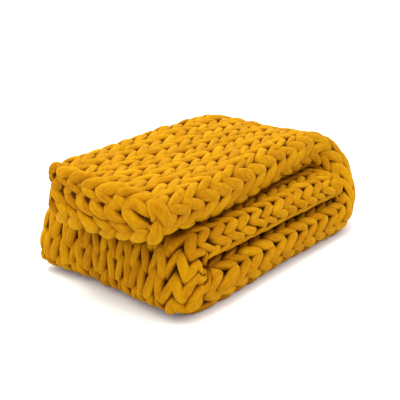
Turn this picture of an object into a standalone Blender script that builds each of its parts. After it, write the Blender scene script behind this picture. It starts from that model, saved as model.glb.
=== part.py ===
# A hand-knitted weighted blanket, folded in three across its width and then in three along its length.
# The long side of the folded blanket lies along X, its width along Y, and it rests on Z = 0.
import math

import bpy
import bmesh
from mathutils import Vector

# Sizes of the folded blanket, in metres
FOLDED_LENGTH = 0.640         # of the two lower strips
FOLDED_WIDTH = 0.405
LAYER_PITCH = 0.0235          # from the middle of one layer to the middle of the next
LAYER_THICKNESS = 0.0204      # one layer of knitting; the rest of the pitch is air
STRIP_GAP = 0.0030            # air between two strips, each of three layers
SIDE_EDGE_INSET = 0.012       # the free side edge of the outer layer stops short of the far fold
OVERHANG = 0.038              # the cast-off end reaches past the small fold below it

# The knitting
LINES_PER_WALE = 4            # groove, leg, middle of the V, leg
LINES_PER_ROW = 2             # the joint and the plump middle of each stitch
WALE_GROOVE = 0.0085          # depth between two columns of stitches
V_GROOVE = 0.0065             # depth between the two legs of a stitch
JOINT_DIP = 0.0040            # depth where one leg slips under the next
LEG_SLANT = 0.25              # how far the legs lean along their column, in rows
EDGE_BULGE = 0.0080           # how far the rounded cut of a layer stands out
EDGE_SHRINK = 0.50            # thickness there, as a share of the layer's

# How unevenly it lies
LOWER_LOFT = 1.20             # how thick each strip has settled, as a share of its three pitches
MIDDLE_LOFT = 0.84
UPPER_LOFT = 1.24
SMALL_TURN_SQUARE = 0.85      # how much squarer than round each fold of the strip is
LARGE_TURN_SQUARE = 0.28
LOOSE_CORNER_RISE = 0.050     # the near corner of the cast-off end stands this share higher
FAR_CORNER_DIP = 0.045        # the far corner over the large fold lies this share lower

BLANKET_COLOUR = (0.730, 0.360, 0.010, 1.0)
BLANKET_ROUGHNESS = 0.85

# Worked out from the sizes above
HALF_THICKNESS = LAYER_THICKNESS / 2
REACH = LAYER_PITCH + HALF_THICKNESS               # from the middle of an evenly folded strip to its face
LOWER_Z = REACH * LOWER_LOFT
MIDDLE_Z = 2 * LOWER_Z + STRIP_GAP + REACH * MIDDLE_LOFT
UPPER_Z = MIDDLE_Z + REACH * MIDDLE_LOFT + STRIP_GAP + REACH * UPPER_LOFT
SMALL_TURN = (MIDDLE_Z - LOWER_Z) / 2
LARGE_TURN = (UPPER_Z - LOWER_Z) / 2
SMALL_TURN_Z = (MIDDLE_Z + LOWER_Z) / 2
LARGE_TURN_Z = (UPPER_Z + LOWER_Z) / 2
SMALL_TURN_X = -FOLDED_LENGTH / 2 + LOWER_Z + SMALL_TURN
LARGE_TURN_X = FOLDED_LENGTH / 2 - LOWER_Z - LARGE_TURN
CAST_OFF_X = -FOLDED_LENGTH / 2 - OVERHANG
NEAR_FOLD_Y = -FOLDED_WIDTH / 2 + REACH
FAR_FOLD_Y = FOLDED_WIDTH / 2 - LAYER_PITCH / 2 - HALF_THICKNESS
SIDE_EDGE_Y = FOLDED_WIDTH / 2 - SIDE_EDGE_INSET

# Across the width, from the outer layer's free side edge to the innermost one: the three layers of the
# strip and the two folds that join them. "level" is the height of the layer, or of the fold's centre, over
# the middle of the strip, "size" is in columns of stitches, and "fine" tells where the stitches show.
ACROSS = (
    dict(form="run", size=8.25, fine=True, start=SIDE_EDGE_Y, end=NEAR_FOLD_Y, level=LAYER_PITCH, facing=1),
    dict(form="fold", size=2.0, fine=True, centre=NEAR_FOLD_Y, side=-1, level=0.0, radius=LAYER_PITCH),
    dict(form="run", size=7.75, fine=False, start=NEAR_FOLD_Y, end=FAR_FOLD_Y, level=-LAYER_PITCH,
         facing=-1),
    dict(form="fold", size=1.0, fine=True, centre=FAR_FOLD_Y, side=1, level=-LAYER_PITCH / 2,
         radius=LAYER_PITCH / 2),
    dict(form="run", size=8.0, fine=False, start=FAR_FOLD_Y, end=NEAR_FOLD_Y, level=0.0, facing=1),
)

# Along the length, from the end hidden inside the large fold to the cast-off end on top: the strip's three
# panels and the two folds that join them. "size" is in rows of stitches. "loft", "wide" and "aside" tell how
# it lies where the part starts: how thick the strip has settled, its share of the folded width, and how far
# it lies to +Y.
ALONG = (
    dict(form="run", size=10.0, fine=False, start=LARGE_TURN_X, end=SMALL_TURN_X, level=MIDDLE_Z, facing=1,
         loft=MIDDLE_LOFT, wide=0.945, aside=0.010),
    dict(form="fold", size=3.5, fine=True, centre=SMALL_TURN_X, side=-1, level=SMALL_TURN_Z,
         radius=SMALL_TURN, loft=MIDDLE_LOFT, wide=0.965, aside=0.002),
    dict(form="run", size=9.5, fine=False, start=SMALL_TURN_X, end=LARGE_TURN_X, level=LOWER_Z, facing=-1,
         loft=LOWER_LOFT, wide=0.965, aside=-0.014),
    dict(form="fold", size=5.5, fine=True, centre=LARGE_TURN_X, side=1, level=LARGE_TURN_Z,
         radius=LARGE_TURN, loft=LOWER_LOFT, wide=1.010, aside=-0.005),
    dict(form="run", size=10.5, fine=True, start=LARGE_TURN_X, end=CAST_OFF_X, level=UPPER_Z, facing=1,
         loft=UPPER_LOFT, wide=0.750, aside=0.030),
    dict(form="end", size=0.0, loft=UPPER_LOFT, wide=0.725, aside=-0.038),
)
UPPER_STRIP = 4
WALES = sum(part["size"] for part in ACROSS)
ROWS = sum(part["size"] for part in ALONG)
OUTER_LAYER, NEAR_FOLD, INNER_LAYER, FAR_FOLD, MIDDLE_LAYER = range(5)

# Lines of points across each part: on the back of the layer, and on its knit face where that is plain
BACK_LINES = (3, 5, 3, 1, 3)
PLAIN_LINES = 4


def clear_scene():
    for thing in list(bpy.data.objects):
        bpy.data.objects.remove(thing, do_unlink=True)


def part_at(parts, place):
    """The part of a folded path that holds a place, and how far along that part the place is, 0 to 1."""
    shaped = [part for part in parts if part["form"] != "end"]
    for index, part in enumerate(shaped):
        if place <= part["size"] or index == len(shaped) - 1:
            return index, place / part["size"]
        place -= part["size"]


def folded_path(parts, place):
    """The point of a folded path at a place, and the way its outer side faces there."""
    index, share = part_at(parts, place)
    part = parts[index]
    if part["form"] == "run":
        along = part["start"] + (part["end"] - part["start"]) * share
        return Vector((along, part["level"])), Vector((0.0, part["facing"]))
    angle = -part["side"] * (math.pi / 2 - math.pi * share)
    facing = Vector((part["side"] * math.cos(angle), math.sin(angle)))
    return Vector((part["centre"], part["level"])) + facing * part["radius"], facing


def settled(row, column):
    """What one column of the strip's table gives at a row, changing smoothly from part to part."""
    index, share = part_at(ALONG, row)
    if ALONG[index]["form"] == "fold":
        share = share * share * (3.0 - 2.0 * share)
    return ALONG[index][column] * (1.0 - share) + ALONG[index + 1][column] * share


def square_turn(x, z, row):
    """Moves a point at one of the strip's folds outwards, so that the fold is squarer than round."""
    index, _ = part_at(ALONG, row)
    if x < SMALL_TURN_X and index != UPPER_STRIP:
        height = min(abs(z / SMALL_TURN_Z - 1.0), 1.0)
        return SMALL_TURN_X + (x - SMALL_TURN_X) * (1.0 + SMALL_TURN_SQUARE * height * height)
    if x > LARGE_TURN_X:
        height = min(abs(z / LARGE_TURN_Z - 1.0), 1.0)
        return LARGE_TURN_X + (x - LARGE_TURN_X) * (1.0 + LARGE_TURN_SQUARE * height * height)
    return x


def knit_depth(wale, row, across, along):
    """How deep the knit face lies under the top of its stitches."""
    shows = ACROSS[across]["fine"]
    if across == OUTER_LAYER:
        shows = ALONG[along]["fine"]
    if not shows:
        return 0.0
    line = round(wale * LINES_PER_WALE) % LINES_PER_WALE
    depth = 0.0
    if line == 0:
        depth = WALE_GROOVE
    elif line == LINES_PER_WALE // 2:
        depth = V_GROOVE
    if round(row * LINES_PER_ROW) % LINES_PER_ROW == 0:
        depth += JOINT_DIP
    return depth


def face_lines():
    """Places of the lines of points over the knit face, and on the back, counted in columns of stitches."""
    fine, back = [], []
    start = 0.0
    for part, back_count in zip(ACROSS, BACK_LINES):
        count = round(part["size"] * LINES_PER_WALE) if part["fine"] else PLAIN_LINES
        fine += [start + part["size"] * step / count for step in range(count)]
        back += [start + part["size"] * (step + 0.5) / back_count for step in range(back_count)]
        start += part["size"]
    return fine + [start], [0.0] + back + [start]


def place_point(wale, row, lift, beyond=0.0, edge=0.0):
    """A point at a column and row, lifted off the middle of the layer, or past its end or side edge."""
    middle, facing = folded_path(ACROSS, wale)
    sideways = Vector((facing.y, -facing.x))
    across = middle + facing * lift + sideways * edge
    strip, outwards = folded_path(ALONG, row)
    ahead = Vector((-outwards.y, outwards.x))
    flat = strip + outwards * across.y * settled(row, "loft") + ahead * beyond
    x = square_turn(flat.x, flat.y, row)
    y = across.x * settled(row, "wide") + settled(row, "aside")
    near = math.exp(-((x - CAST_OFF_X) / 0.12) ** 2 - ((y + FOLDED_WIDTH / 2) / 0.12) ** 2)
    far = math.exp(-((x - LARGE_TURN_X) / 0.12) ** 2 - ((y - FOLDED_WIDTH / 2) / 0.12) ** 2)
    return Vector((x, y, flat.y * (1.0 + LOOSE_CORNER_RISE * near - FAR_CORNER_DIP * far)))


def section_ring(row, thickness=1.0, beyond=0.0):
    """The closed outline of the whole layer at one row: its knit face, side edge, back and side edge."""
    face, back = face_lines()
    half = HALF_THICKNESS * thickness
    ring = []
    for wale in face:
        phase = abs((wale % 1.0) - 0.5) * 2.0
        leaning = min(max(row + LEG_SLANT * (phase - 0.5), 0.0), ROWS)
        across, _ = part_at(ACROSS, wale)
        along, _ = part_at(ALONG, leaning)
        depth = knit_depth(wale, row, across, along) * thickness
        loop_end = 1.8 - 1.6 * phase if ACROSS[across]["fine"] else 1.0
        ring.append(place_point(wale, leaning, half - depth, beyond * loop_end))
    ring.append(place_point(WALES, row, 0.0, beyond, -EDGE_BULGE))
    ring += [place_point(wale, row, -half, beyond) for wale in reversed(back)]
    ring.append(place_point(0.0, row, 0.0, beyond, EDGE_BULGE))
    return ring


def build_blanket():
    mesh = bmesh.new()
    row_count = round(ROWS * LINES_PER_ROW)
    rings = [section_ring(0.0, EDGE_SHRINK, -EDGE_BULGE)]
    rings += [section_ring(step / LINES_PER_ROW) for step in range(row_count + 1)]
    rings.append(section_ring(ROWS, EDGE_SHRINK, EDGE_BULGE))
    loops = [[mesh.verts.new(point) for point in ring] for ring in rings]
    for this, following in zip(loops, loops[1:]):
        for index in range(len(this)):
            after = (index + 1) % len(this)
            mesh.faces.new((this[index], this[after], following[after], following[index]))
    mesh.faces.new(loops[0])
    mesh.faces.new(reversed(loops[-1]))
    flatten_underside(mesh)
    stand_on_origin(mesh)
    bmesh.ops.triangulate(mesh, faces=mesh.faces[:])
    bmesh.ops.recalc_face_normals(mesh, faces=mesh.faces[:])
    data = bpy.data.meshes.new("blanket")
    mesh.to_mesh(data)
    mesh.free()
    return data


def stand_on_origin(mesh):
    """Puts the middle of the blanket's box over the origin."""
    for axis in (0, 1):
        places = [vertex.co[axis] for vertex in mesh.verts]
        middle = (min(places) + max(places)) / 2
        for vertex in mesh.verts:
            vertex.co[axis] -= middle


def flatten_underside(mesh):
    """The blanket rests on a flat underside, which needs few faces."""
    resting = [edge for edge in mesh.edges if all(abs(v.co.z) < 1e-6 for v in edge.verts)]
    corners = [vertex for vertex in mesh.verts if abs(vertex.co.z) < 1e-6]
    bmesh.ops.dissolve_limit(mesh, angle_limit=math.radians(0.5), verts=corners, edges=resting)


def knitted_cotton():
    material = bpy.data.materials.new("knitted_cotton")
    material.use_nodes = True
    shader = material.node_tree.nodes["Principled BSDF"]
    shader.inputs["Base Color"].default_value = BLANKET_COLOUR
    shader.inputs["Roughness"].default_value = BLANKET_ROUGHNESS
    shader.inputs["Metallic"].default_value = 0.0
    return material


clear_scene()
blanket = bpy.data.objects.new("blanket", build_blanket())
bpy.context.scene.collection.objects.link(blanket)
blanket.data.materials.append(knitted_cotton())
blanket.data.shade_smooth()
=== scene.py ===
import math

import bpy
import numpy as np
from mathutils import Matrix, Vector


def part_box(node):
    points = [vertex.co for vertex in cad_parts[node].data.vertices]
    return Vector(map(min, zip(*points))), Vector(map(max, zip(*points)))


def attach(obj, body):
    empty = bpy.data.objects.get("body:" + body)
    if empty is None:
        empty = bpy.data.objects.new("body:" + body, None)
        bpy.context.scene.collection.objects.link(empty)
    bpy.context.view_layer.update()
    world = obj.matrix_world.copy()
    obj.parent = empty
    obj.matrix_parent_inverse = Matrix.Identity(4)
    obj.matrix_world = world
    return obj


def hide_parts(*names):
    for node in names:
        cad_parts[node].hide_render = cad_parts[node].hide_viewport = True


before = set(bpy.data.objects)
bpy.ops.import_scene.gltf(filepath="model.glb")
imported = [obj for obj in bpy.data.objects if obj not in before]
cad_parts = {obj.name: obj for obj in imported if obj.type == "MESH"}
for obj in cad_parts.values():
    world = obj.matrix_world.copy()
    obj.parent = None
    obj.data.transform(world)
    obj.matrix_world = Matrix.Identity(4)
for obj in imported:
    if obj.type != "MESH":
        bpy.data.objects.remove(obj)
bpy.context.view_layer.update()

cadLow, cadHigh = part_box("blanket")
print("frame loaded")


def addNode(tree, kind, settings=None, feeds=None):
    # feeds go to the sockets in order, or by name or number; each is a node, a socket or a plain value
    node = tree.nodes.new(kind)
    for name, value in (settings or {}).items():
        setattr(node, name, value)
    feeds = feeds or {}
    pairs = feeds.items() if isinstance(feeds, dict) else enumerate(feeds)
    for place, feed in pairs:
        socket = node.inputs[place]
        if isinstance(feed, bpy.types.Node):
            feed = feed.outputs[0]
        if isinstance(feed, bpy.types.NodeSocket):
            tree.links.new(feed, socket)
        else:
            socket.default_value = feed
    return node


def addObject(name, data):
    thing = bpy.data.objects.new(name, data)
    bpy.context.scene.collection.objects.link(thing)
    return thing


def gridFaces(rowCount, columnCount):
    # the numbers of a grid's corners, and the four corners of each of its faces
    index = np.arange(rowCount * columnCount).reshape(rowCount, columnCount)
    faces = np.stack([index[:-1, :-1], index[:-1, 1:], index[1:, 1:], index[1:, :-1]], -1).reshape(-1, 4)
    return index, faces


def linearColour(hexColour):
    # sRGB hex to the linear values that shaders take
    channels = [int(hexColour[start:start + 2], 16) / 255 for start in (1, 3, 5)]
    return [c / 12.92 if c <= 0.04045 else ((c + 0.055) / 1.055) ** 2.4 for c in channels] + [1.0]


# how the blanket is folded, in metres: the solid's own sizes, and below them those that only the yarn needs
fold = {
    "length": 0.640,
    "width": 0.405,
    "pitch": 0.0235,          # from the middle of one layer to the middle of the next
    "thickness": 0.0204,
    "stripGap": 0.003,        # air between two strips, each of three layers
    "sideInset": 0.012,       # the free side edge stops short of the far fold
    "overhang": 0.038,        # the cast-off end reaches past the small fold below it
    "lowerLoft": 1.20,        # how thick each strip has settled, as a share of its three pitches
    "middleLoft": 0.84,
    "upperLoft": 1.24,
    "smallSquare": 0.85,      # how much squarer than round each fold of the strip is
    "largeSquare": 0.28,
    "cornerRise": 0.050,      # the near corner of the cast-off end stands this share higher
    "cornerDip": 0.045,       # the far corner over the large fold lies this share lower
    "cornerReach": 0.12,      # how far both of these spread

    "innerTuck": 0.023,       # the innermost layer reaches this far into the near fold
    "edgeRoll": 0.009,        # the free side edge rolls under with this radius
    "rollShown": 0.25,        # the share of that roll that the outer layer's stitches cover
}
halfThickness = fold["thickness"] / 2
stripReach = fold["pitch"] + halfThickness     # from the middle of an evenly folded strip to its face
lowerZ = stripReach * fold["lowerLoft"]
middleZ = 2 * lowerZ + fold["stripGap"] + stripReach * fold["middleLoft"]
upperZ = middleZ + stripReach * fold["middleLoft"] + fold["stripGap"] + stripReach * fold["upperLoft"]
smallTurn = (middleZ - lowerZ) / 2
largeTurn = (upperZ - lowerZ) / 2
smallTurnZ = (middleZ + lowerZ) / 2
largeTurnZ = (upperZ + lowerZ) / 2
smallTurnX = -fold["length"] / 2 + lowerZ + smallTurn
largeTurnX = fold["length"] / 2 - lowerZ - largeTurn
castOffX = -fold["length"] / 2 - fold["overhang"]
nearFoldY = -fold["width"] / 2 + stripReach
farFoldY = fold["width"] / 2 - fold["pitch"] / 2 - halfThickness
sideEdgeY = fold["width"] / 2 - fold["sideInset"]

# across the width: the free edge rolled under, the outer layer, the near fold, the layer under it, the far
# fold and the layer between them
across = [
    {"form": "fold", "centre": sideEdgeY - fold["edgeRoll"], "side": 1, "radius": fold["edgeRoll"],
     "level": fold["pitch"] - fold["edgeRoll"]},
    {"form": "run", "start": sideEdgeY - fold["edgeRoll"], "end": nearFoldY,
     "level": fold["pitch"], "facing": 1},
    {"form": "fold", "centre": nearFoldY, "side": -1, "radius": fold["pitch"], "level": 0.0},
    {"form": "run", "start": nearFoldY, "end": farFoldY, "level": -fold["pitch"], "facing": -1},
    {"form": "fold", "centre": farFoldY, "side": 1, "radius": fold["pitch"] / 2, "level": -fold["pitch"] / 2},
    {"form": "run", "start": farFoldY, "end": nearFoldY - fold["innerTuck"], "level": 0.0, "facing": 1},
]
for part in across:
    part["size"] = abs(part["end"] - part["start"]) if part["form"] == "run" else math.pi * part["radius"]

# along the length, in rows of stitches: middle strip, small fold, lower strip, large fold, upper strip;
# each part starts with its own loft, width and wales, and changes over to the next part's
along = [
    {"form": "run", "size": 12.0, "start": largeTurnX, "end": smallTurnX, "level": middleZ, "facing": 1,
     "loft": fold["middleLoft"], "wide": 0.945, "aside": 0.002, "edgeWale": 0.0, "foldWale": 8.20},
    {"form": "fold", "size": 5.0, "centre": smallTurnX, "side": -1, "level": smallTurnZ, "radius": smallTurn,
     "loft": fold["middleLoft"], "wide": 0.965, "aside": 0.002, "edgeWale": 0.0, "foldWale": 8.30},
    {"form": "run", "size": 11.0, "start": smallTurnX, "end": largeTurnX, "level": lowerZ, "facing": -1,
     "loft": fold["lowerLoft"], "wide": 0.965, "aside": -0.014, "edgeWale": 0.0, "foldWale": 8.50},
    {"form": "fold", "size": 5.5, "centre": largeTurnX, "side": 1, "level": largeTurnZ, "radius": largeTurn,
     "loft": fold["lowerLoft"], "wide": 1.010, "aside": -0.005, "edgeWale": 0.0, "foldWale": 8.50},
    {"form": "run", "size": 12.5, "start": largeTurnX, "end": castOffX, "level": upperZ, "facing": 1,
     "loft": fold["upperLoft"], "wide": 0.750, "aside": 0.030, "edgeWale": 2.0, "foldWale": 8.80},
    {"form": "end", "size": 0.0, "loft": fold["upperLoft"], "wide": 0.725, "aside": -0.038,
     "edgeWale": 2.0, "foldWale": 8.30},
]
# how the pile has settled: each push is strongest at one place and fades over its reach
settling = [
    # far corner of the cast-off end
    {"at": (-0.33, 0.11, 0.21), "reach": (0.09, 0.09, 0.07), "push": (0.0, -0.014, 0.015)},
    # far side of the top
    {"at": (-0.12, 0.16, 0.23), "reach": (0.22, 0.09, 0.08), "push": (0.0, 0.008, 0.009)},
    # far corner of the top
    {"at": (0.18, 0.17, 0.21), "reach": (0.10, 0.07, 0.08), "push": (0.0, 0.0, 0.011)},
    # ridge over the large fold
    {"at": (0.25, -0.01, 0.22), "reach": (0.09, 0.12, 0.08), "push": (0.0, 0.0, -0.011)},
    # near corner of the cast-off end, above
    {"at": (-0.35, -0.20, 0.24), "reach": (0.10, 0.10, 0.04), "push": (0.0, 0.0, -0.006)},
    # near corner of the cast-off end, below
    {"at": (-0.35, -0.20, 0.15), "reach": (0.10, 0.10, 0.04), "push": (0.0, 0.0, 0.008)},
    # side of the large fold
    {"at": (0.32, -0.13, 0.11), "reach": (0.06, 0.12, 0.07), "push": (0.017, 0.0, 0.0)},
    # near corner of the small fold
    {"at": (-0.33, -0.19, 0.03), "reach": (0.10, 0.11, 0.07), "push": (-0.024, 0.0, 0.0)},
    # far end of the small fold
    {"at": (-0.31, 0.17, 0.12), "reach": (0.06, 0.10, 0.035), "push": (0.014, 0.0, 0.0)},
    # far end of the cast-off rim, below
    {"at": (-0.36, 0.11, 0.18), "reach": (0.08, 0.08, 0.045), "push": (0.010, -0.004, 0.0)},
    # far end of the large fold, above
    {"at": (0.32, 0.19, 0.22), "reach": (0.09, 0.08, 0.08), "push": (0.0, 0.0, -0.009)},
    # foot of the small fold
    {"at": (-0.33, -0.09, 0.02), "reach": (0.10, 0.08, 0.05), "push": (-0.009, 0.0, 0.0)},
    # far end of the small fold, below
    {"at": (-0.33, 0.18, 0.03), "reach": (0.08, 0.09, 0.045), "push": (-0.008, 0.004, 0.0)},
    # near side below
    {"at": (0.08, -0.20, 0.01), "reach": (0.24, 0.08, 0.06), "push": (0.0, 0.010, 0.0)},
]
rowKnots = np.cumsum([0.0] + [part["size"] for part in along[:-1]])
allRows = float(rowKnots[-1])
acrossKnots = np.cumsum([0.0] + [part["size"] for part in across])
allAcross = float(acrossKnots[-1])


def foldedPath(parts, place):
    # points of a folded path, and the way its outer side faces there; past its ends it goes on as it was
    point = np.zeros(place.shape + (2,))
    facing = np.zeros(place.shape + (2,))
    start = 0.0
    last = len(parts) - 1
    for index, part in enumerate(parts):
        here = (place >= start) if index else np.ones(place.shape, bool)
        if index < last:
            here = here & (place < start + part["size"])
        share = (place[here] - start) / part["size"]
        if part["form"] == "run":
            point[here, 0] = part["start"] + (part["end"] - part["start"]) * share
            point[here, 1] = part["level"]
            facing[here, 1] = part["facing"]
        else:
            # before its start a fold rolls on by up to a quarter turn
            angle = -part["side"] * (math.pi / 2 - math.pi * np.clip(share, -0.5, 1.0))
            out = np.stack([part["side"] * np.cos(angle), np.sin(angle)], -1)
            facing[here] = out
            point[here] = np.array([part["centre"], part["level"]]) + out * part["radius"]
        start += part["size"]
    return point, facing


def stripValue(row, column):
    # one column of the strip's table at each row, changing smoothly through the folds
    values = np.array([part[column] for part in along])
    knot = np.interp(row, rowKnots, np.arange(len(rowKnots), dtype=float))
    index = np.clip(knot.astype(int), 0, len(rowKnots) - 2)
    share = knot - index
    turning = np.array([part["form"] == "fold" for part in along])[index]
    share = np.where(turning, share * share * (3 - 2 * share), share)
    return values[index] * (1 - share) + values[index + 1] * share


def placeOn(arc, row, lift, beyond=0.0, pushes=settling):
    # a place in the folded blanket: metres across it, rows along it, lifted off the layer's middle
    arc, row, lift, beyond = [a.astype(float) for a in np.broadcast_arrays(arc, row, lift, beyond)]
    middle, facing = foldedPath(across, arc)
    section = middle + facing * lift[..., None]
    strip, outwards = foldedPath(along[:-1], row)
    ahead = np.stack([-outwards[..., 1], outwards[..., 0]], -1)
    height = section[..., 1] * stripValue(row, "loft")
    flat = strip + outwards * height[..., None] + ahead * beyond[..., None]
    x, z = flat[..., 0], flat[..., 1]
    small = np.clip(np.abs(z / smallTurnZ - 1), 0, 1) ** 2
    large = np.clip(np.abs(z / largeTurnZ - 1), 0, 1) ** 2
    lowerStrips = (x < smallTurnX) & (row < rowKnots[4])
    x = np.where(lowerStrips, smallTurnX + (x - smallTurnX) * (1 + fold["smallSquare"] * small), x)
    x = np.where(x > largeTurnX, largeTurnX + (x - largeTurnX) * (1 + fold["largeSquare"] * large), x)
    y = section[..., 0] * stripValue(row, "wide") + stripValue(row, "aside")
    spread = fold["cornerReach"]
    near = np.exp(-((x - castOffX) / spread) ** 2 - ((y + fold["width"] / 2) / spread) ** 2)
    far = np.exp(-((x - largeTurnX) / spread) ** 2 - ((y - fold["width"] / 2) / spread) ** 2)
    z = z * (1 + fold["cornerRise"] * near - fold["cornerDip"] * far)
    place = np.stack([x, y, z], -1)
    moved = place.copy()
    for settle in pushes:
        nearness = np.exp(-(((place - settle["at"]) / settle["reach"]) ** 2).sum(-1, keepdims=True))
        moved += nearness * settle["push"]
    return moved


# the solid is centred over the origin, so the folds are shifted as it was; the rolled edge doesn't count
sampling = {"fromArc": 0.02, "arcs": 240, "rows": 400}
sampleArc, sampleRow = np.meshgrid(np.linspace(sampling["fromArc"], allAcross, sampling["arcs"]),
                                   np.linspace(0, allRows, sampling["rows"]))
sampled = placeOn(sampleArc, sampleRow, halfThickness, pushes=()).reshape(-1, 3)
middleOfBox = (np.array(cadLow) + np.array(cadHigh)) / 2
shift = middleOfBox - (sampled.min(0) + sampled.max(0)) / 2
shift[2] = 0.0
print("folds placed, shifted by", np.round(shift, 6))


# the guides: surfaces of the folded blanket that the flat knitting is laid on
guideRange = {"lowWale": -3.0, "wales": 54.0, "lowRow": -3.0, "rows": 54.0}
knit = {
    "outerWales": (-1.0, 13.0),   # what each guide covers, with some to spare
    "farWales": (-2.0, 2.0),
    "foldWales": 2.1,          # wales round the near fold
    "farPitch": 0.040,         # metres from wale to wale round the far fold
    "guideStep": 0.125,        # in wales and rows
    "pastEnds": 1.5,           # rows that a guide goes on past the blanket's ends
    "tuckRows": 0.5,           # how soon the last loops tuck behind the rim, how far out and how deep they go
    "tuckLength": 0.012,
    "tuckDepth": 0.012,
    "liftStep": 0.002,         # how far off the guide its lift is measured
    "squash": 0.5,             # how far the loops follow the loft of their strip, and how far they don't
    "leastLift": 0.55,
    "lowest": (-9.0, -9.0, 0.0003),   # nothing lies below this place, which is just above the floor
}


def liftVector(base, lifted, step):
    # the way a layer's outer side faces, longer where its strip is loftier
    direction = lifted - base
    length = np.linalg.norm(direction, axis=-1, keepdims=True)
    return direction / np.maximum(length, 1e-9) * (knit["squash"] * length / step + knit["leastLift"])


def guideGrid(name, wales, rows, points, lifts):
    # a grid that holds a surface of the folded blanket for the stitches to follow; never shown
    _, faces = gridFaces(*wales.shape)
    mesh = bpy.data.meshes.new(name)
    mesh.from_pydata(points.reshape(-1, 3).tolist(), [], faces.tolist())
    uv = mesh.attributes.new("knitPlace", "FLOAT2", "CORNER")
    flat = np.stack([(wales - guideRange["lowWale"]) / guideRange["wales"],
                     (rows - guideRange["lowRow"]) / guideRange["rows"]], -1).reshape(-1, 2)
    uv.data.foreach_set("vector", flat[faces.reshape(-1)].astype(np.float32).reshape(-1))
    lift = mesh.attributes.new("liftVector", "FLOAT_VECTOR", "POINT")
    lift.data.foreach_set("vector", lifts.astype(np.float32).reshape(-1))
    return addObject(name, mesh)


foldStart = float(acrossKnots[2])
foldPitch = across[2]["size"] / knit["foldWales"]
farMiddle = float(acrossKnots[4]) + across[4]["size"] / 2


def outerArc(wale, row):
    # metres across for each wale of the outer layer and the near fold
    rolled = fold["rollShown"] * across[0]["size"]
    foldWale = stripValue(row, "foldWale")
    outerPitch = (foldStart - rolled) / (foldWale - stripValue(row, "edgeWale"))
    fromFold = wale - foldWale
    return foldStart + np.where(fromFold < 0, fromFold * outerPitch, fromFold * foldPitch)


def makeGuide(name, wales, rows, arcOf):
    waleGrid, rowGrid = np.meshgrid(wales, rows)
    arc = arcOf(waleGrid, rowGrid)
    # rows past the blanket's ends tuck down behind the rim
    inside = np.clip(rowGrid, 0, allRows)
    tuck = np.sign(rowGrid - inside) * (1 - np.exp(-np.abs(rowGrid - inside) / knit["tuckRows"]))
    beyond = knit["tuckLength"] * tuck
    sunk = knit["tuckDepth"] * np.abs(tuck)
    base = placeOn(arc, inside, -sunk, beyond)
    lifted = placeOn(arc, inside, knit["liftStep"] - sunk, beyond)
    return guideGrid(name, waleGrid, rowGrid, base + shift, liftVector(base, lifted, knit["liftStep"]))


def stepsFrom(low, high):
    # both ends are included
    return np.arange(low, high + 1e-6, knit["guideStep"])


rowPlaces = stepsFrom(-knit["pastEnds"], allRows + knit["pastEnds"])
outerGuide = makeGuide("outer_guide", stepsFrom(*knit["outerWales"]), rowPlaces, outerArc)
farGuide = makeGuide("far_guide", stepsFrom(*knit["farWales"]), rowPlaces,
                     lambda wale, row: farMiddle + wale * knit["farPitch"])

rim = {
    "radius": 0.0120,
    "parts": (1.1, 1.15, 1.20, 1.3, 1.2, 1.45),   # how thick the rim is on each part of the way across
    "sunk": (0.005, 0.001, 0.009, 0.003, 0.003, 0.0),   # and how far it sits back from the layer's middle
    "start": math.radians(-35),                   # round from the face of the layer to its back
    "span": math.radians(205),
    "stitches": (1.0, 6.4, 1.8, 6.3, 1.0, 6.7),   # cast-off links on each part of the way across
    "inset": 0.005,
    "backShare": 0.7,                             # the back of the rim is flatter than its front
    "roundSteps": 25,
    "roundPast": 0.5,                             # the guide goes on past the rim each way, in spans
    "linksBefore": 1.5,
    "linksAfter": 2.5,
}


def makeRimGuide(name, row, sign):
    # the rounded end of every layer, followed across the blanket: rows count along the edge
    knots = np.cumsum((0.0,) + rim["stitches"])
    links = stepsFrom(-rim["linksBefore"], knots[-1] + rim["linksAfter"])
    turns = np.linspace(-rim["roundPast"], 1 + rim["roundPast"], rim["roundSteps"])
    turnGrid, linkGrid = np.meshgrid(turns, links)
    slope = acrossKnots[-1] / knots[-1]
    arc = np.interp(linkGrid, knots, acrossKnots)
    arc = arc + np.minimum(linkGrid, 0) * slope + np.maximum(linkGrid - knots[-1], 0) * slope
    angle = rim["start"] + rim["span"] * turnGrid
    middles = (knots[:-1] + knots[1:]) / 2
    radius = rim["radius"] * np.interp(linkGrid, middles, rim["parts"])
    sunk = np.interp(linkGrid, middles, rim["sunk"])
    lift = radius * np.cos(angle)
    lift = np.where(lift < 0, lift * rim["backShare"], lift) - sunk
    centre = placeOn(arc, row, -sunk, -sign * rim["inset"])
    base = placeOn(arc, row, lift, sign * (radius * np.sin(angle) - rim["inset"]))
    return guideGrid(name, turnGrid, linkGrid, base + shift, (base - centre) / rim["radius"])


castOffGuide = makeRimGuide("cast_off_guide", allRows, 1.0)
castOnGuide = makeRimGuide("cast_on_guide", 0.0, -1.0)
print("guides made")


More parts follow.
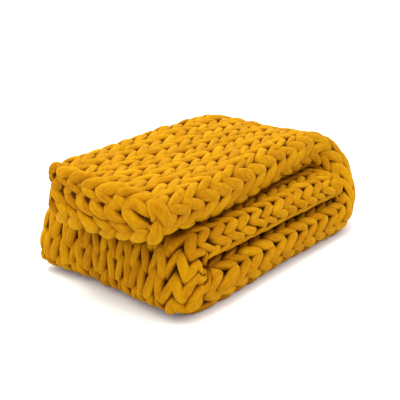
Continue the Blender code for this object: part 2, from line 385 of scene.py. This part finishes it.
# plump tube yarn: a cotton jersey tube round soft filling; matte, faintly fuzzy, creased where it is pinched
yarnFinish = {
    "colour": "#A06C02",
    "deepColour": "#925C01",
    "lightColour": "#AC7A03",
    "paintedShadeColour": "#2E0F01",  # painted shade: the colour given where the yarn lies deep between its neighbours and little light reaches it
    # painted contact shade: this colour and the reaches below darken the yarn where loops touch
    "paintedContactShadeColour": "#641F01",
    "contactReach": 0.018,
    "contactOpen": 0.92,
    "contactShut": 0.22,
    "contactSamples": 6,
    # painted shade: the yarn's colour darkens to the shade colour between these two depths
    "paintedShadeStart": 0.16,
    "paintedShadeEnd": 0.46,
    "deepAt": 0.30,          # where on the ramp each of the first three colours is
    "colourAt": 0.52,
    "lightAt": 0.78,
    "roughness": 0.86,
    "ior": 1.46,
    "specular": 0.06,        # loose fibres scatter light and hardly mirror it
    "sheen": 0.30,
    "sheenRoughness": 0.45,
    "sheenTint": "#F0C408",
    "patchWidth": 0.05,      # soft changes of tone along the yarn
    "ribWidth": 0.0016,      # jersey's ribs are under 1 mm wide; these are 1.6 mm so that they show
    "ribStretch": 0.35,      # how often the ribs change along the yarn, as a share of how often round it
    "ribStrength": 0.45,
    "ribHeight": 0.0012,
    "creaseWidth": 0.0045,
    "creaseLength": 0.014,
    "creaseStrength": 0.40,
    "creaseHeight": 0.0035,
    "grainWidth": 0.004,
    "grainTone": 0.9,
}


def makeYarnMaterial(name):
    material = bpy.data.materials.new(name)
    material.use_nodes = True
    tree = material.node_tree
    shader = tree.nodes["Principled BSDF"]
    shader.inputs["Roughness"].default_value = yarnFinish["roughness"]
    shader.inputs["IOR"].default_value = yarnFinish["ior"]
    shader.inputs["Specular IOR Level"].default_value = yarnFinish["specular"]
    shader.inputs["Sheen Weight"].default_value = yarnFinish["sheen"]
    shader.inputs["Sheen Roughness"].default_value = yarnFinish["sheenRoughness"]
    shader.inputs["Sheen Tint"].default_value = linearColour(yarnFinish["sheenTint"])

    # the knitting writes three attributes: yarnPlace round and along the yarn, stitchTone, and the depth in
    # the knitting that the painted shade follows
    place = addNode(tree, "ShaderNodeAttribute", {"attribute_name": "yarnPlace"}).outputs["Vector"]
    toneOfLeg = addNode(tree, "ShaderNodeAttribute", {"attribute_name": "stitchTone"}).outputs["Fac"]
    tucked = addNode(tree, "ShaderNodeAttribute", {"attribute_name": "tucked"}).outputs["Fac"]
    patchy = addNode(tree, "ShaderNodeTexNoise", None,
                     {"Vector": place, "Scale": 1 / yarnFinish["patchWidth"], "Detail": 3.0,
                      "Roughness": 0.55})
    grain = addNode(tree, "ShaderNodeTexNoise", None,
                    {"Vector": place, "Scale": 1 / yarnFinish["grainWidth"], "Detail": 2.0,
                     "Roughness": 0.6})
    grainTone = addNode(tree, "ShaderNodeMath", {"operation": "MULTIPLY_ADD"},
                        [grain.outputs["Fac"], yarnFinish["grainTone"], -0.5 * yarnFinish["grainTone"]])
    patchyTone = addNode(tree, "ShaderNodeMath", {"operation": "ADD"}, [patchy.outputs["Fac"], grainTone])
    mixed = addNode(tree, "ShaderNodeMath", {"operation": "ADD"}, [patchyTone, toneOfLeg])
    ramp = addNode(tree, "ShaderNodeValToRGB", None, {"Fac": mixed})
    deep, light = ramp.color_ramp.elements
    deep.position = yarnFinish["deepAt"]
    deep.color = linearColour(yarnFinish["deepColour"])
    light.position = yarnFinish["lightAt"]
    light.color = linearColour(yarnFinish["lightColour"])
    ramp.color_ramp.elements.new(yarnFinish["colourAt"]).color = linearColour(yarnFinish["colour"])

    # painted shade: darker where two loops touch, as ambient occlusion finds it, and darkest deep behind
    # them; the mix's colours are inputs 6 and 7
    contact = addNode(tree, "ShaderNodeAmbientOcclusion", {"samples": yarnFinish["contactSamples"]},
                      {"Distance": yarnFinish["contactReach"]})
    paintedContactShadeShare = addNode(tree, "ShaderNodeMapRange", {"interpolation_type": "SMOOTHSTEP"},
                           {"Value": contact.outputs["AO"], "From Min": yarnFinish["contactOpen"],
                            "From Max": yarnFinish["contactShut"]})
    # painted shade by depth: the deeper the yarn lies, the more of the shade colour it gets
    paintedShadeShare = addNode(tree, "ShaderNodeMapRange", {"interpolation_type": "SMOOTHSTEP"},
                        {"Value": tucked, "From Min": yarnFinish["paintedShadeStart"],
                         "From Max": yarnFinish["paintedShadeEnd"]})
    # the yarn's colour with the painted contact shade mixed in
    pressed = addNode(tree, "ShaderNodeMix", {"data_type": "RGBA"},
                      {"Factor": paintedContactShadeShare, 6: ramp.outputs["Color"],
                       7: linearColour(yarnFinish["paintedContactShadeColour"])})
    shade = addNode(tree, "ShaderNodeMix", {"data_type": "RGBA"},
                    {"Factor": paintedShadeShare, 6: pressed.outputs[2], 7: linearColour(yarnFinish["paintedShadeColour"])})
    tree.links.new(shade.outputs[2], shader.inputs["Base Color"])

    # creases and jersey ribs both run along the yarn, so their noise is stretched that way
    perWidth, perLength = 1 / yarnFinish["creaseWidth"], 1 / yarnFinish["creaseLength"]
    creasePlace = addNode(tree, "ShaderNodeVectorMath", {"operation": "MULTIPLY"},
                          [place, (perWidth, perWidth, perLength)])
    crease = addNode(tree, "ShaderNodeTexNoise", None,
                     {"Vector": creasePlace, "Scale": 1.0, "Detail": 2.0, "Roughness": 0.5})
    creaseBump = addNode(tree, "ShaderNodeBump", None,
                         {"Strength": yarnFinish["creaseStrength"], "Distance": yarnFinish["creaseHeight"],
                          "Height": crease.outputs["Fac"]})
    perRib = 1 / yarnFinish["ribWidth"]
    ribPlace = addNode(tree, "ShaderNodeVectorMath", {"operation": "MULTIPLY"},
                       [place, (perRib, perRib, yarnFinish["ribStretch"] / yarnFinish["ribWidth"])])
    ribs = addNode(tree, "ShaderNodeTexNoise", None, {"Vector": ribPlace, "Scale": 1.0, "Detail": 1.0})
    ribBump = addNode(tree, "ShaderNodeBump", None,
                      {"Strength": yarnFinish["ribStrength"], "Distance": yarnFinish["ribHeight"],
                       "Height": ribs.outputs["Fac"], "Normal": creaseBump})
    tree.links.new(ribBump.outputs["Normal"], shader.inputs["Normal"])
    return material


yarnMaterial = makeYarnMaterial("cotton_jersey_tube_yarn")
print("yarn made")

# one stitch of the flat knitting, in metres where no note says otherwise; a wale is a column of stitches
stitch = {
    "Wale Width": 0.0395,
    "Row Height": 0.0460,
    "Leg Slant": 0.30,         # how far the legs lean out over their height, in wales
    "Loop Reach": 1.08,        # half the height of a loop, in rows
    "Depth": 0.0080,           # how far a loop swings between the front and the back of the layer
    "Middle": -0.0040,         # where the middle of that swing lies, off the guide
    "Flatness": 0.85,          # the yarn is a little wider than it is thick
    "Yarn Radius": 0.0092,     # of the plump middle of a leg
    "Pinch": 0.48,             # the yarn's radius where the next row grips it, as a share
    "Blunt Tops": 1.00,        # above 1 the leg stays full further up; 1 leaves it even
    "Unevenness": 1.3,
    "Lump Height": 0.0052,
    "Lump Scale": 38.0,        # lumps of about 26 mm
    "Seed": 4,
    "Points per Wale": 38,
    "Yarn Sides": 16,
}
patchNames = ["First Row", "Rows", "First Wale", "Wales"]
wholeNames = ["Seed", "Points per Wale", "Yarn Sides"] + patchNames
# how far chance moves a leg each way; the order of these sets which draw each one gets
chanceSizes = {
    "sideways": 0.055,         # in wales
    "along": 0.09,             # in rows
    "lift": 0.0012,            # in metres
    "thickness": 0.09,         # as a share of the yarn's radius
    "tone": 0.065,
}
yarnRun = {
    "perWale": 0.11,           # metres of yarn in a stitch
    "perRow": 1.7,             # and from row to row, so that no two rows show the same lumps
    "radius": 0.0104,          # of the yarn as the material's patterns see it
    "legNumbers": 101.0,       # more than the legs in a row, so that each leg's number is its own
}


def buildStitchTree():
    tree = bpy.data.node_groups.new("knit_stitches", "GeometryNodeTree")
    tree.interface.new_socket("Geometry", in_out="INPUT", socket_type="NodeSocketGeometry")
    tree.interface.new_socket("Guide", in_out="INPUT", socket_type="NodeSocketObject")
    tree.interface.new_socket("Yarn", in_out="INPUT", socket_type="NodeSocketMaterial")
    for name in list(stitch) + patchNames:
        kind = "NodeSocketInt" if name in wholeNames else "NodeSocketFloat"
        tree.interface.new_socket(name, in_out="INPUT", socket_type=kind)
    tree.interface.new_socket("Geometry", in_out="OUTPUT", socket_type="NodeSocketGeometry")
    sizes = tree.nodes.new("NodeGroupInput").outputs
    finish = tree.nodes.new("NodeGroupOutput")

    # one straight line of points for each row
    pointCount = addNode(tree, "ShaderNodeMath", {"operation": "MULTIPLY_ADD"},
                         [sizes["Wales"], sizes["Points per Wale"], 1.0])
    line = addNode(tree, "GeometryNodeCurvePrimitiveLine", None, {"End": (1.0, 0.0, 0.0)})
    points = addNode(tree, "GeometryNodeResampleCurve", None, {"Curve": line, "Count": pointCount})
    courses = addNode(tree, "GeometryNodeDuplicateElements", {"domain": "SPLINE"},
                      {"Geometry": points, "Amount": sizes["Rows"]})
    rowNumber = addNode(tree, "ShaderNodeMath", {"operation": "ADD"},
                        [courses.outputs["Duplicate Index"], sizes["First Row"]])
    heldRow = addNode(tree, "GeometryNodeStoreNamedAttribute", {"data_type": "FLOAT", "domain": "POINT"},
                      {"Geometry": courses.outputs["Geometry"], "Name": "row", "Value": rowNumber})
    row = addNode(tree, "GeometryNodeInputNamedAttribute", {"data_type": "FLOAT"}, {"Name": "row"})

    # where each point is in its stitch: up one leg from the wale's edge, over the head and down the other
    pointIndex = addNode(tree, "GeometryNodeSplineParameter").outputs["Index"]
    walesAlong = addNode(tree, "ShaderNodeMath", {"operation": "DIVIDE"},
                         [pointIndex, sizes["Points per Wale"]])
    place = addNode(tree, "ShaderNodeMath", {"operation": "ADD"}, [walesAlong, sizes["First Wale"]])
    wale = addNode(tree, "ShaderNodeMath", {"operation": "FLOOR"}, [place])
    inWale = addNode(tree, "ShaderNodeMath", {"operation": "SUBTRACT"}, [place, wale])
    fromMiddle = addNode(tree, "ShaderNodeMath", {"operation": "MULTIPLY_ADD"}, [inWale, 2.0, -1.0])
    distance = addNode(tree, "ShaderNodeMath", {"operation": "ABSOLUTE"}, [fromMiddle])
    climb = addNode(tree, "ShaderNodeMath", {"operation": "SUBTRACT"}, [1.0, distance])
    side = addNode(tree, "ShaderNodeMath", {"operation": "SIGN"}, [fromMiddle])
    fuller = addNode(tree, "ShaderNodeMath", {"operation": "POWER"}, [climb, sizes["Blunt Tops"]])

    # chance, the same for all the points of one leg and nothing at the leg's ends
    doubled = addNode(tree, "ShaderNodeMath", {"operation": "MULTIPLY"}, [place, 2.0])
    legNumber = addNode(tree, "ShaderNodeMath", {"operation": "FLOOR"}, [doubled])
    legId = addNode(tree, "ShaderNodeMath", {"operation": "MULTIPLY_ADD"},
                    [row, yarnRun["legNumbers"], legNumber])
    chances = {}
    for draw, effect in enumerate(chanceSizes):
        drawSeed = addNode(tree, "ShaderNodeMath", {"operation": "ADD"}, [sizes["Seed"], float(draw)])
        # inputs 2 and 3 are the least and the greatest number drawn
        chance = addNode(tree, "FunctionNodeRandomValue", {"data_type": "FLOAT"},
                         {2: -1.0, 3: 1.0, "ID": legId, "Seed": drawSeed})
        chances[effect] = addNode(tree, "ShaderNodeMath", {"operation": "MULTIPLY"},
                                  [chance.outputs[1], chanceSizes[effect]])
    halfTurn = addNode(tree, "ShaderNodeMath", {"operation": "MULTIPLY"}, [fuller, math.pi])
    bump = addNode(tree, "ShaderNodeMath", {"operation": "SINE"}, [halfTurn])
    bumpSquared = addNode(tree, "ShaderNodeMath", {"operation": "MULTIPLY"}, [bump, bump])
    bumpQuarter = addNode(tree, "ShaderNodeMath", {"operation": "MULTIPLY"}, [bumpSquared, math.pi / 2])
    broadBump = addNode(tree, "ShaderNodeMath", {"operation": "SINE"}, [bumpQuarter])
    uneven = addNode(tree, "ShaderNodeMath", {"operation": "MULTIPLY"}, [bumpSquared, sizes["Unevenness"]])

    # across the wale: from its edge to its middle, leaning in at the foot and out at the top
    fullTurn = addNode(tree, "ShaderNodeMath", {"operation": "MULTIPLY"}, [climb, 2 * math.pi])
    lean = addNode(tree, "ShaderNodeMath", {"operation": "SINE"}, [fullTurn])
    leaning = addNode(tree, "ShaderNodeMath", {"operation": "MULTIPLY"}, [lean, sizes["Leg Slant"]])
    halfClimb = addNode(tree, "ShaderNodeMath", {"operation": "MULTIPLY_ADD"}, [climb, 0.5, leaning])
    toMiddle = addNode(tree, "ShaderNodeMath", {"operation": "SUBTRACT"}, [0.5, halfClimb])
    sideways = addNode(tree, "ShaderNodeMath", {"operation": "MULTIPLY"}, [toMiddle, side])
    jitteredX = addNode(tree, "ShaderNodeMath", {"operation": "MULTIPLY_ADD"},
                        [chances["sideways"], uneven, sideways])
    waleMiddle = addNode(tree, "ShaderNodeMath", {"operation": "ADD"}, [wale, 0.5])
    waleCoordinate = addNode(tree, "ShaderNodeMath", {"operation": "ADD"}, [waleMiddle, jitteredX])

    # along the wale
    climbTurn = addNode(tree, "ShaderNodeMath", {"operation": "MULTIPLY"}, [climb, math.pi])
    climbCosine = addNode(tree, "ShaderNodeMath", {"operation": "COSINE"}, [climbTurn])
    drop = addNode(tree, "ShaderNodeMath", {"operation": "MULTIPLY"}, [climbCosine, sizes["Loop Reach"]])
    rowCoordinate = addNode(tree, "ShaderNodeMath", {"operation": "SUBTRACT"}, [row, drop])
    jitteredY = addNode(tree, "ShaderNodeMath", {"operation": "MULTIPLY_ADD"},
                        [chances["along"], uneven, rowCoordinate])

    # off the layer's middle: the leg in front, head and foot behind
    fullerTurn = addNode(tree, "ShaderNodeMath", {"operation": "MULTIPLY"}, [fuller, 2 * math.pi])
    swing = addNode(tree, "ShaderNodeMath", {"operation": "COSINE"}, [fullerTurn])
    swingQuarter = addNode(tree, "ShaderNodeMath", {"operation": "MULTIPLY"}, [swing, math.pi / 2])
    broadSwing = addNode(tree, "ShaderNodeMath", {"operation": "SINE"}, [swingQuarter])
    swung = addNode(tree, "ShaderNodeMath", {"operation": "MULTIPLY"}, [broadSwing, sizes["Depth"]])
    lift = addNode(tree, "ShaderNodeMath", {"operation": "SUBTRACT"}, [sizes["Middle"], swung])
    jitteredZ = addNode(tree, "ShaderNodeMath", {"operation": "MULTIPLY_ADD"},
                        [chances["lift"], uneven, lift])

    # the yarn's radius, full in the middle of a leg
    ease = addNode(tree, "ShaderNodeMath", {"operation": "SUBTRACT"}, [1.0, sizes["Pinch"]])
    plump = addNode(tree, "ShaderNodeMath", {"operation": "MULTIPLY_ADD"}, [ease, broadBump, sizes["Pinch"]])
    jitteredR = addNode(tree, "ShaderNodeMath", {"operation": "MULTIPLY_ADD"},
                        [chances["thickness"], uneven, plump])
    radius = addNode(tree, "ShaderNodeMath", {"operation": "MULTIPLY"}, [jitteredR, sizes["Yarn Radius"]])

    flatX = addNode(tree, "ShaderNodeMath", {"operation": "MULTIPLY"}, [waleCoordinate, sizes["Wale Width"]])
    flatY = addNode(tree, "ShaderNodeMath", {"operation": "MULTIPLY"}, [jitteredY, sizes["Row Height"]])
    flat = addNode(tree, "ShaderNodeCombineXYZ", None, [flatX, flatY, jitteredZ])

    # what the material reads: metres along the yarn, and a slight change of tone from leg to leg
    waleMetres = addNode(tree, "ShaderNodeMath", {"operation": "MULTIPLY"}, [place, yarnRun["perWale"]])
    yarnMetres = addNode(tree, "ShaderNodeMath", {"operation": "MULTIPLY_ADD"},
                         [row, yarnRun["perRow"], waleMetres])
    toned = addNode(tree, "ShaderNodeMath", {"operation": "MULTIPLY"}, [chances["tone"], uneven])
    withAlong = addNode(tree, "GeometryNodeStoreNamedAttribute", {"data_type": "FLOAT", "domain": "POINT"},
                        {"Geometry": heldRow, "Name": "yarnAlong", "Value": yarnMetres})
    withTone = addNode(tree, "GeometryNodeStoreNamedAttribute", {"data_type": "FLOAT", "domain": "POINT"},
                       {"Geometry": withAlong, "Name": "stitchTone", "Value": toned})
    thick = addNode(tree, "GeometryNodeSetCurveRadius", None, {"Curve": withTone, "Radius": radius})
    laid = addNode(tree, "GeometryNodeSetPosition", None, {"Geometry": thick, "Position": flat})
    ring = addNode(tree, "GeometryNodeCurvePrimitiveCircle", None,
                   {"Resolution": sizes["Yarn Sides"], "Radius": 1.0})
    ringPlace = addNode(tree, "GeometryNodeInputPosition")
    markedRing = addNode(tree, "GeometryNodeStoreNamedAttribute",
                         {"data_type": "FLOAT_VECTOR", "domain": "POINT"},
                         {"Geometry": ring.outputs["Curve"], "Name": "yarnRound", "Value": ringPlace})
    curveRadius = addNode(tree, "GeometryNodeInputRadius")
    tubes = addNode(tree, "GeometryNodeCurveToMesh", None,
                    {"Curve": laid, "Profile Curve": markedRing, "Scale": curveRadius, "Fill Caps": True})

    # yarnPlace: round the yarn in x and y, along it in z
    roundAttribute = addNode(tree, "GeometryNodeInputNamedAttribute", {"data_type": "FLOAT_VECTOR"},
                             {"Name": "yarnRound"})
    alongAttribute = addNode(tree, "GeometryNodeInputNamedAttribute", {"data_type": "FLOAT"},
                             {"Name": "yarnAlong"})
    alongVector = addNode(tree, "ShaderNodeCombineXYZ", None, {"Z": alongAttribute})
    roundScaled = addNode(tree, "ShaderNodeVectorMath", {"operation": "SCALE"},
                          {0: roundAttribute, "Scale": yarnRun["radius"]})
    yarnPlace = addNode(tree, "ShaderNodeVectorMath", {"operation": "ADD"}, [roundScaled, alongVector])
    marked = addNode(tree, "GeometryNodeStoreNamedAttribute",
                     {"data_type": "FLOAT_VECTOR", "domain": "POINT"},
                     {"Geometry": tubes, "Name": "yarnPlace", "Value": yarnPlace})

    # the soft filling makes the yarn a little lumpy
    lumps = addNode(tree, "ShaderNodeTexNoise", None,
                    {"Vector": yarnPlace, "Scale": sizes["Lump Scale"], "Detail": 1.0})
    halfLump = addNode(tree, "ShaderNodeMath", {"operation": "MULTIPLY"}, [sizes["Lump Height"], -0.5])
    lumpHeight = addNode(tree, "ShaderNodeMath", {"operation": "MULTIPLY_ADD"},
                         [lumps.outputs["Fac"], sizes["Lump Height"], halfLump])
    outwards = addNode(tree, "GeometryNodeInputNormal")
    lumpOffset = addNode(tree, "ShaderNodeVectorMath", {"operation": "SCALE"},
                         {0: outwards, "Scale": lumpHeight})
    lumpy = addNode(tree, "GeometryNodeSetPosition", None, {"Geometry": marked, "Offset": lumpOffset})

    # flattened a little, as it lies pressed in the fabric
    roundPlace = addNode(tree, "GeometryNodeInputPosition")
    roundParts = addNode(tree, "ShaderNodeSeparateXYZ", None, [roundPlace])
    fromMiddleZ = addNode(tree, "ShaderNodeMath", {"operation": "SUBTRACT"},
                          [roundParts.outputs["Z"], sizes["Middle"]])
    flatZ = addNode(tree, "ShaderNodeMath", {"operation": "MULTIPLY_ADD"},
                    [fromMiddleZ, sizes["Flatness"], sizes["Middle"]])
    pressed = addNode(tree, "ShaderNodeCombineXYZ", None,
                      [roundParts.outputs["X"], roundParts.outputs["Y"], flatZ])
    flattened = addNode(tree, "GeometryNodeSetPosition", None, {"Geometry": lumpy, "Position": pressed})

    # how deep a place lies in the knitting: 0 at its front, 1 at its back; the material paints shade by this
    # depth
    flatPlace = addNode(tree, "GeometryNodeInputPosition")
    parts = addNode(tree, "ShaderNodeSeparateXYZ", None, [flatPlace])
    highest = addNode(tree, "ShaderNodeMath", {"operation": "ADD"}, [sizes["Depth"], sizes["Yarn Radius"]])
    belowHighest = addNode(tree, "ShaderNodeMath", {"operation": "SUBTRACT"}, [highest, parts.outputs["Z"]])
    depthHere = addNode(tree, "ShaderNodeMath", {"operation": "ADD"}, [belowHighest, sizes["Middle"]])
    wholeDepth = addNode(tree, "ShaderNodeMath", {"operation": "MULTIPLY"}, [highest, 2.0])
    depthShare = addNode(tree, "ShaderNodeMath", {"operation": "DIVIDE"}, [depthHere, wholeDepth])
    shaded = addNode(tree, "GeometryNodeStoreNamedAttribute", {"data_type": "FLOAT", "domain": "POINT"},
                     {"Geometry": flattened, "Name": "tucked", "Value": depthShare})

    # from the flat knitting to the folded blanket
    guide = addNode(tree, "GeometryNodeObjectInfo", {"transform_space": "ORIGINAL"},
                    {"Object": sizes["Guide"]})
    sampleU = addNode(tree, "ShaderNodeMath", {"operation": "DIVIDE"},
                      [parts.outputs["X"], sizes["Wale Width"]])
    sampleV = addNode(tree, "ShaderNodeMath", {"operation": "DIVIDE"},
                      [parts.outputs["Y"], sizes["Row Height"]])
    shareU = addNode(tree, "ShaderNodeMath", {"operation": "MULTIPLY_ADD"},
                     [sampleU, 1 / guideRange["wales"], -guideRange["lowWale"] / guideRange["wales"]])
    shareV = addNode(tree, "ShaderNodeMath", {"operation": "MULTIPLY_ADD"},
                     [sampleV, 1 / guideRange["rows"], -guideRange["lowRow"] / guideRange["rows"]])
    sampleAt = addNode(tree, "ShaderNodeCombineXYZ", None, [shareU, shareV])
    knitPlace = addNode(tree, "GeometryNodeInputNamedAttribute", {"data_type": "FLOAT_VECTOR"},
                        {"Name": "knitPlace"})
    liftAttribute = addNode(tree, "GeometryNodeInputNamedAttribute", {"data_type": "FLOAT_VECTOR"},
                            {"Name": "liftVector"})
    sampled = []
    for value in (flatPlace, liftAttribute):
        sampled.append(addNode(tree, "GeometryNodeSampleUVSurface", {"data_type": "FLOAT_VECTOR"},
                               {"Mesh": guide.outputs["Geometry"], "Value": value, "UV Map": knitPlace,
                                "Sample UV": sampleAt}))
    raised = addNode(tree, "ShaderNodeVectorMath", {"operation": "SCALE"},
                     {0: sampled[1], "Scale": parts.outputs["Z"]})
    folded = addNode(tree, "ShaderNodeVectorMath", {"operation": "ADD"}, [sampled[0], raised])
    onFloor = addNode(tree, "ShaderNodeVectorMath", {"operation": "MAXIMUM"}, [folded, knit["lowest"]])
    placed = addNode(tree, "GeometryNodeSetPosition", None, {"Geometry": shaded, "Position": onFloor})
    smooth = addNode(tree, "GeometryNodeSetShadeSmooth", None, {"Geometry": placed})
    realized = addNode(tree, "GeometryNodeRealizeInstances", None, {"Geometry": smooth})
    coloured = addNode(tree, "GeometryNodeSetMaterial", None,
                       {"Geometry": realized, "Material": sizes["Yarn"]})
    tree.links.new(coloured.outputs[0], finish.inputs[0])
    return tree


stitchTree = buildStitchTree()
print("stitch tree built")


def knitPatch(name, guide, wales, rows, **changes):
    # evaluates the stitch tree once and keeps the result as a plain mesh; wales and rows are each the first
    # one and how many there are
    holder = addObject(name + "_holder", bpy.data.meshes.new(name + "_holder"))
    modifier = holder.modifiers.new("stitches", "NODES")
    modifier.node_group = stitchTree
    values = dict(stitch, **changes)
    values.update({"Guide": guide, "Yarn": yarnMaterial, "First Wale": wales[0], "Wales": wales[1],
                   "First Row": rows[0], "Rows": rows[1]})
    for item in stitchTree.interface.items_tree:
        if item.in_out == "INPUT" and item.name in values:
            modifier[item.identifier] = values[item.name]
    bpy.context.view_layer.update()
    mesh = bpy.data.meshes.new_from_object(holder.evaluated_get(bpy.context.evaluated_depsgraph_get()))
    bpy.data.objects.remove(holder, do_unlink=True)
    mesh.name = name
    print(name, len(mesh.polygons), "faces")
    return addObject(name, mesh)


# what differs from the plain stitch: the links of the rims, the two strips, the small fold and the top
edgeStitch = {"Wale Width": 0.042, "Row Height": 0.040, "Loop Reach": 1.05, "Unevenness": 1.25,
              "Flatness": 1.0, "Leg Slant": 0.30, "Depth": 0.0060, "Middle": -0.0100, "Yarn Radius": 0.0108,
              "Pinch": 0.42, "Points per Wale": 44, "Yarn Sides": 20}
stripStitch = {"Loop Reach": 1.0, "Yarn Radius": 0.0098}
stretchedStitch = {"Loop Reach": 0.98, "Leg Slant": 0.20, "Yarn Radius": 0.0100, "Unevenness": 1.6}
cornerStitch = {"Loop Reach": 0.92, "Leg Slant": 0.33, "Yarn Radius": 0.0096, "Unevenness": 2.0}
topStitch = {"Yarn Radius": 0.0098}
pieces = [
    knitPatch("stitches_middle_strip", outerGuide, (0, 12), (0, 12), **stripStitch),
    knitPatch("stitches_small_fold", outerGuide, (0, 8), (12, 5), **stretchedStitch),
    knitPatch("stitches_small_fold_corner", outerGuide, (8, 4), (12, 5), **cornerStitch),
    knitPatch("stitches_underside", outerGuide, (0, 12), (17, 11), **stripStitch),
    knitPatch("stitches_large_fold", outerGuide, (0, 12), (28, 3)),
    knitPatch("stitches_large_fold_top", outerGuide, (1, 11), (31, 2)),
    knitPatch("stitches_top", outerGuide, (2, 10), (33, 14), **topStitch),
    knitPatch("stitches_far_side", farGuide, (-1, 2), (1, 45), Seed=31),
    knitPatch("cast_off_edge", castOffGuide, (0, 1), (1, 22), Seed=52, **edgeStitch),
    knitPatch("cast_on_edge", castOnGuide, (0, 1), (1, 22), Seed=63, **edgeStitch),
]

# the knitting behind the stitches: one sheet folded through all nine layers, painted in the shade colour so
# that the gaps between loops show painted shade
sheetSizes = {
    "front": -0.0035,          # where its two faces lie from the layer's middle
    "back": -0.0085,
    "endInset": 0.35,          # rows by which the sheet stops short of the rim
    "innerInset": 0.01,        # and metres by which it stops short of the innermost edge
    "stepsAcross": (5, 20, 10, 12, 8, 12),   # on each part of the way across
    "rowLines": 157,
    "tucked": 0.8,             # as deep in the knitting as that, so the sheet is painted the dark shade colour of the backs of loops
    "flat": (1.17, 1.81),      # the blanket spread out
}


def makeSheet(name):
    arcs = []
    start = 0.0
    for part, steps in zip(across, sheetSizes["stepsAcross"]):
        arcs += list(start + part["size"] * np.arange(steps) / steps)
        start += part["size"]
    arcs = np.array(arcs + [start - sheetSizes["innerInset"]])
    rows = np.linspace(sheetSizes["endInset"], allRows - sheetSizes["endInset"], sheetSizes["rowLines"])
    arcGrid, rowGrid = np.meshgrid(arcs, rows)
    front = (placeOn(arcGrid, rowGrid, sheetSizes["front"]) + shift).reshape(-1, 3)
    back = (placeOn(arcGrid, rowGrid, sheetSizes["back"]) + shift).reshape(-1, 3)
    index, quads = gridFaces(*arcGrid.shape)
    toBack = index.size
    faces = quads.tolist() + (quads[:, ::-1] + toBack).tolist()
    # a narrow wall all round joins the front to the back
    border = list(index[0, :]) + list(index[1:, -1]) + list(index[-1, -2::-1]) + list(index[-2:0:-1, 0])
    border = [int(i) for i in border]
    for this, following in zip(border, border[1:] + border[:1]):
        faces.append((following, this, this + toBack, following + toBack))
    corners = np.concatenate([front, back])
    mesh = bpy.data.meshes.new(name)
    mesh.from_pydata(corners.tolist(), [], faces)
    mesh.shade_smooth()
    mesh.materials.append(yarnMaterial)
    for attribute, kind in (("yarnPlace", "FLOAT_VECTOR"), ("stitchTone", "FLOAT"), ("tucked", "FLOAT")):
        mesh.attributes.new(attribute, kind, "POINT")
    # the whole sheet is painted shade: every corner gets that depth
    sheetShadeDepth = np.full(len(corners), sheetSizes["tucked"], np.float32)
    mesh.attributes["tucked"].data.foreach_set("value", sheetShadeDepth)
    mesh.attributes["yarnPlace"].data.foreach_set("vector", corners.astype(np.float32).ravel())
    return addObject(name, mesh)


clothSheet = makeSheet("folded_knitting")
for guide in (outerGuide, farGuide, castOffGuide, castOnGuide):
    bpy.data.objects.remove(guide, do_unlink=True)

for piece in pieces + [clothSheet]:
    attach(piece, "root")
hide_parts("blanket")
print("blanket made")

# floor, light and camera
bpy.context.scene.view_settings.view_transform = "Standard"
studio = {
    "floor": "#EEF3FF",        # matte white paper, an even ground for soft shadows
    "floorRoughness": 0.9,
    "floorReach": 6.0,
    "worldStrength": 1.72,
    "worldColour": (1.0, 0.93, 0.84, 1.0),
    "keyPower": 42.0,
    "keyColour": (0.90, 1.10, 0.80),
    "keyPlace": (-0.15, 0.30, 1.9),
    "keySize": 1.6,
}


def makeFloor():
    mesh = bpy.data.meshes.new("floor")
    size = studio["floorReach"]
    corners = [(-size, -size, 0), (size, -size, 0), (size, size, 0), (-size, size, 0)]
    mesh.from_pydata(corners, [], [(0, 1, 2, 3)])
    floor = addObject("floor", mesh)
    material = bpy.data.materials.new("matte_white_paper")
    material.use_nodes = True
    shader = material.node_tree.nodes["Principled BSDF"]
    shader.inputs["Base Color"].default_value = linearColour(studio["floor"])
    shader.inputs["Roughness"].default_value = studio["floorRoughness"]
    mesh.materials.append(material)


makeFloor()
world = bpy.data.worlds.new("soft_white_studio")
world.use_nodes = True
background = world.node_tree.nodes["Background"]
background.inputs["Color"].default_value = studio["worldColour"]
background.inputs["Strength"].default_value = studio["worldStrength"]
bpy.context.scene.world = world

key = addObject("overhead_softbox", bpy.data.lights.new("overhead_softbox", "AREA"))
key.data.energy = studio["keyPower"]
key.data.size = studio["keySize"]
key.data.color = studio["keyColour"]
key.location = studio["keyPlace"]
key.rotation_euler = Vector(studio["keyPlace"]).to_track_quat("Z", "Y").to_euler()

view = {
    "azimuth": -51.44,
    "elevation": 18.585,
    "distance": 1.6745,
    "focalPixels": 809.64,     # focal length for a picture 400 pixels wide
    "pictureWidth": 400,
    "sensorWidth": 36.0,
    "target": (-0.03766, 0.0, 0.10912),
}
azimuth, elevation = math.radians(view["azimuth"]), math.radians(view["elevation"])
backwards = Vector((math.sin(azimuth) * math.cos(elevation), -math.cos(azimuth) * math.cos(elevation),
                    math.sin(elevation)))
camera = addObject("camera", bpy.data.cameras.new("camera"))
camera.data.sensor_width = view["sensorWidth"]
camera.data.lens = view["sensorWidth"] * view["focalPixels"] / view["pictureWidth"]
camera.location = Vector(view["target"]) + Vector(shift) + backwards * view["distance"]
camera.rotation_euler = backwards.to_track_quat("Z", "Y").to_euler()
bpy.context.scene.camera = camera
print("stage set")
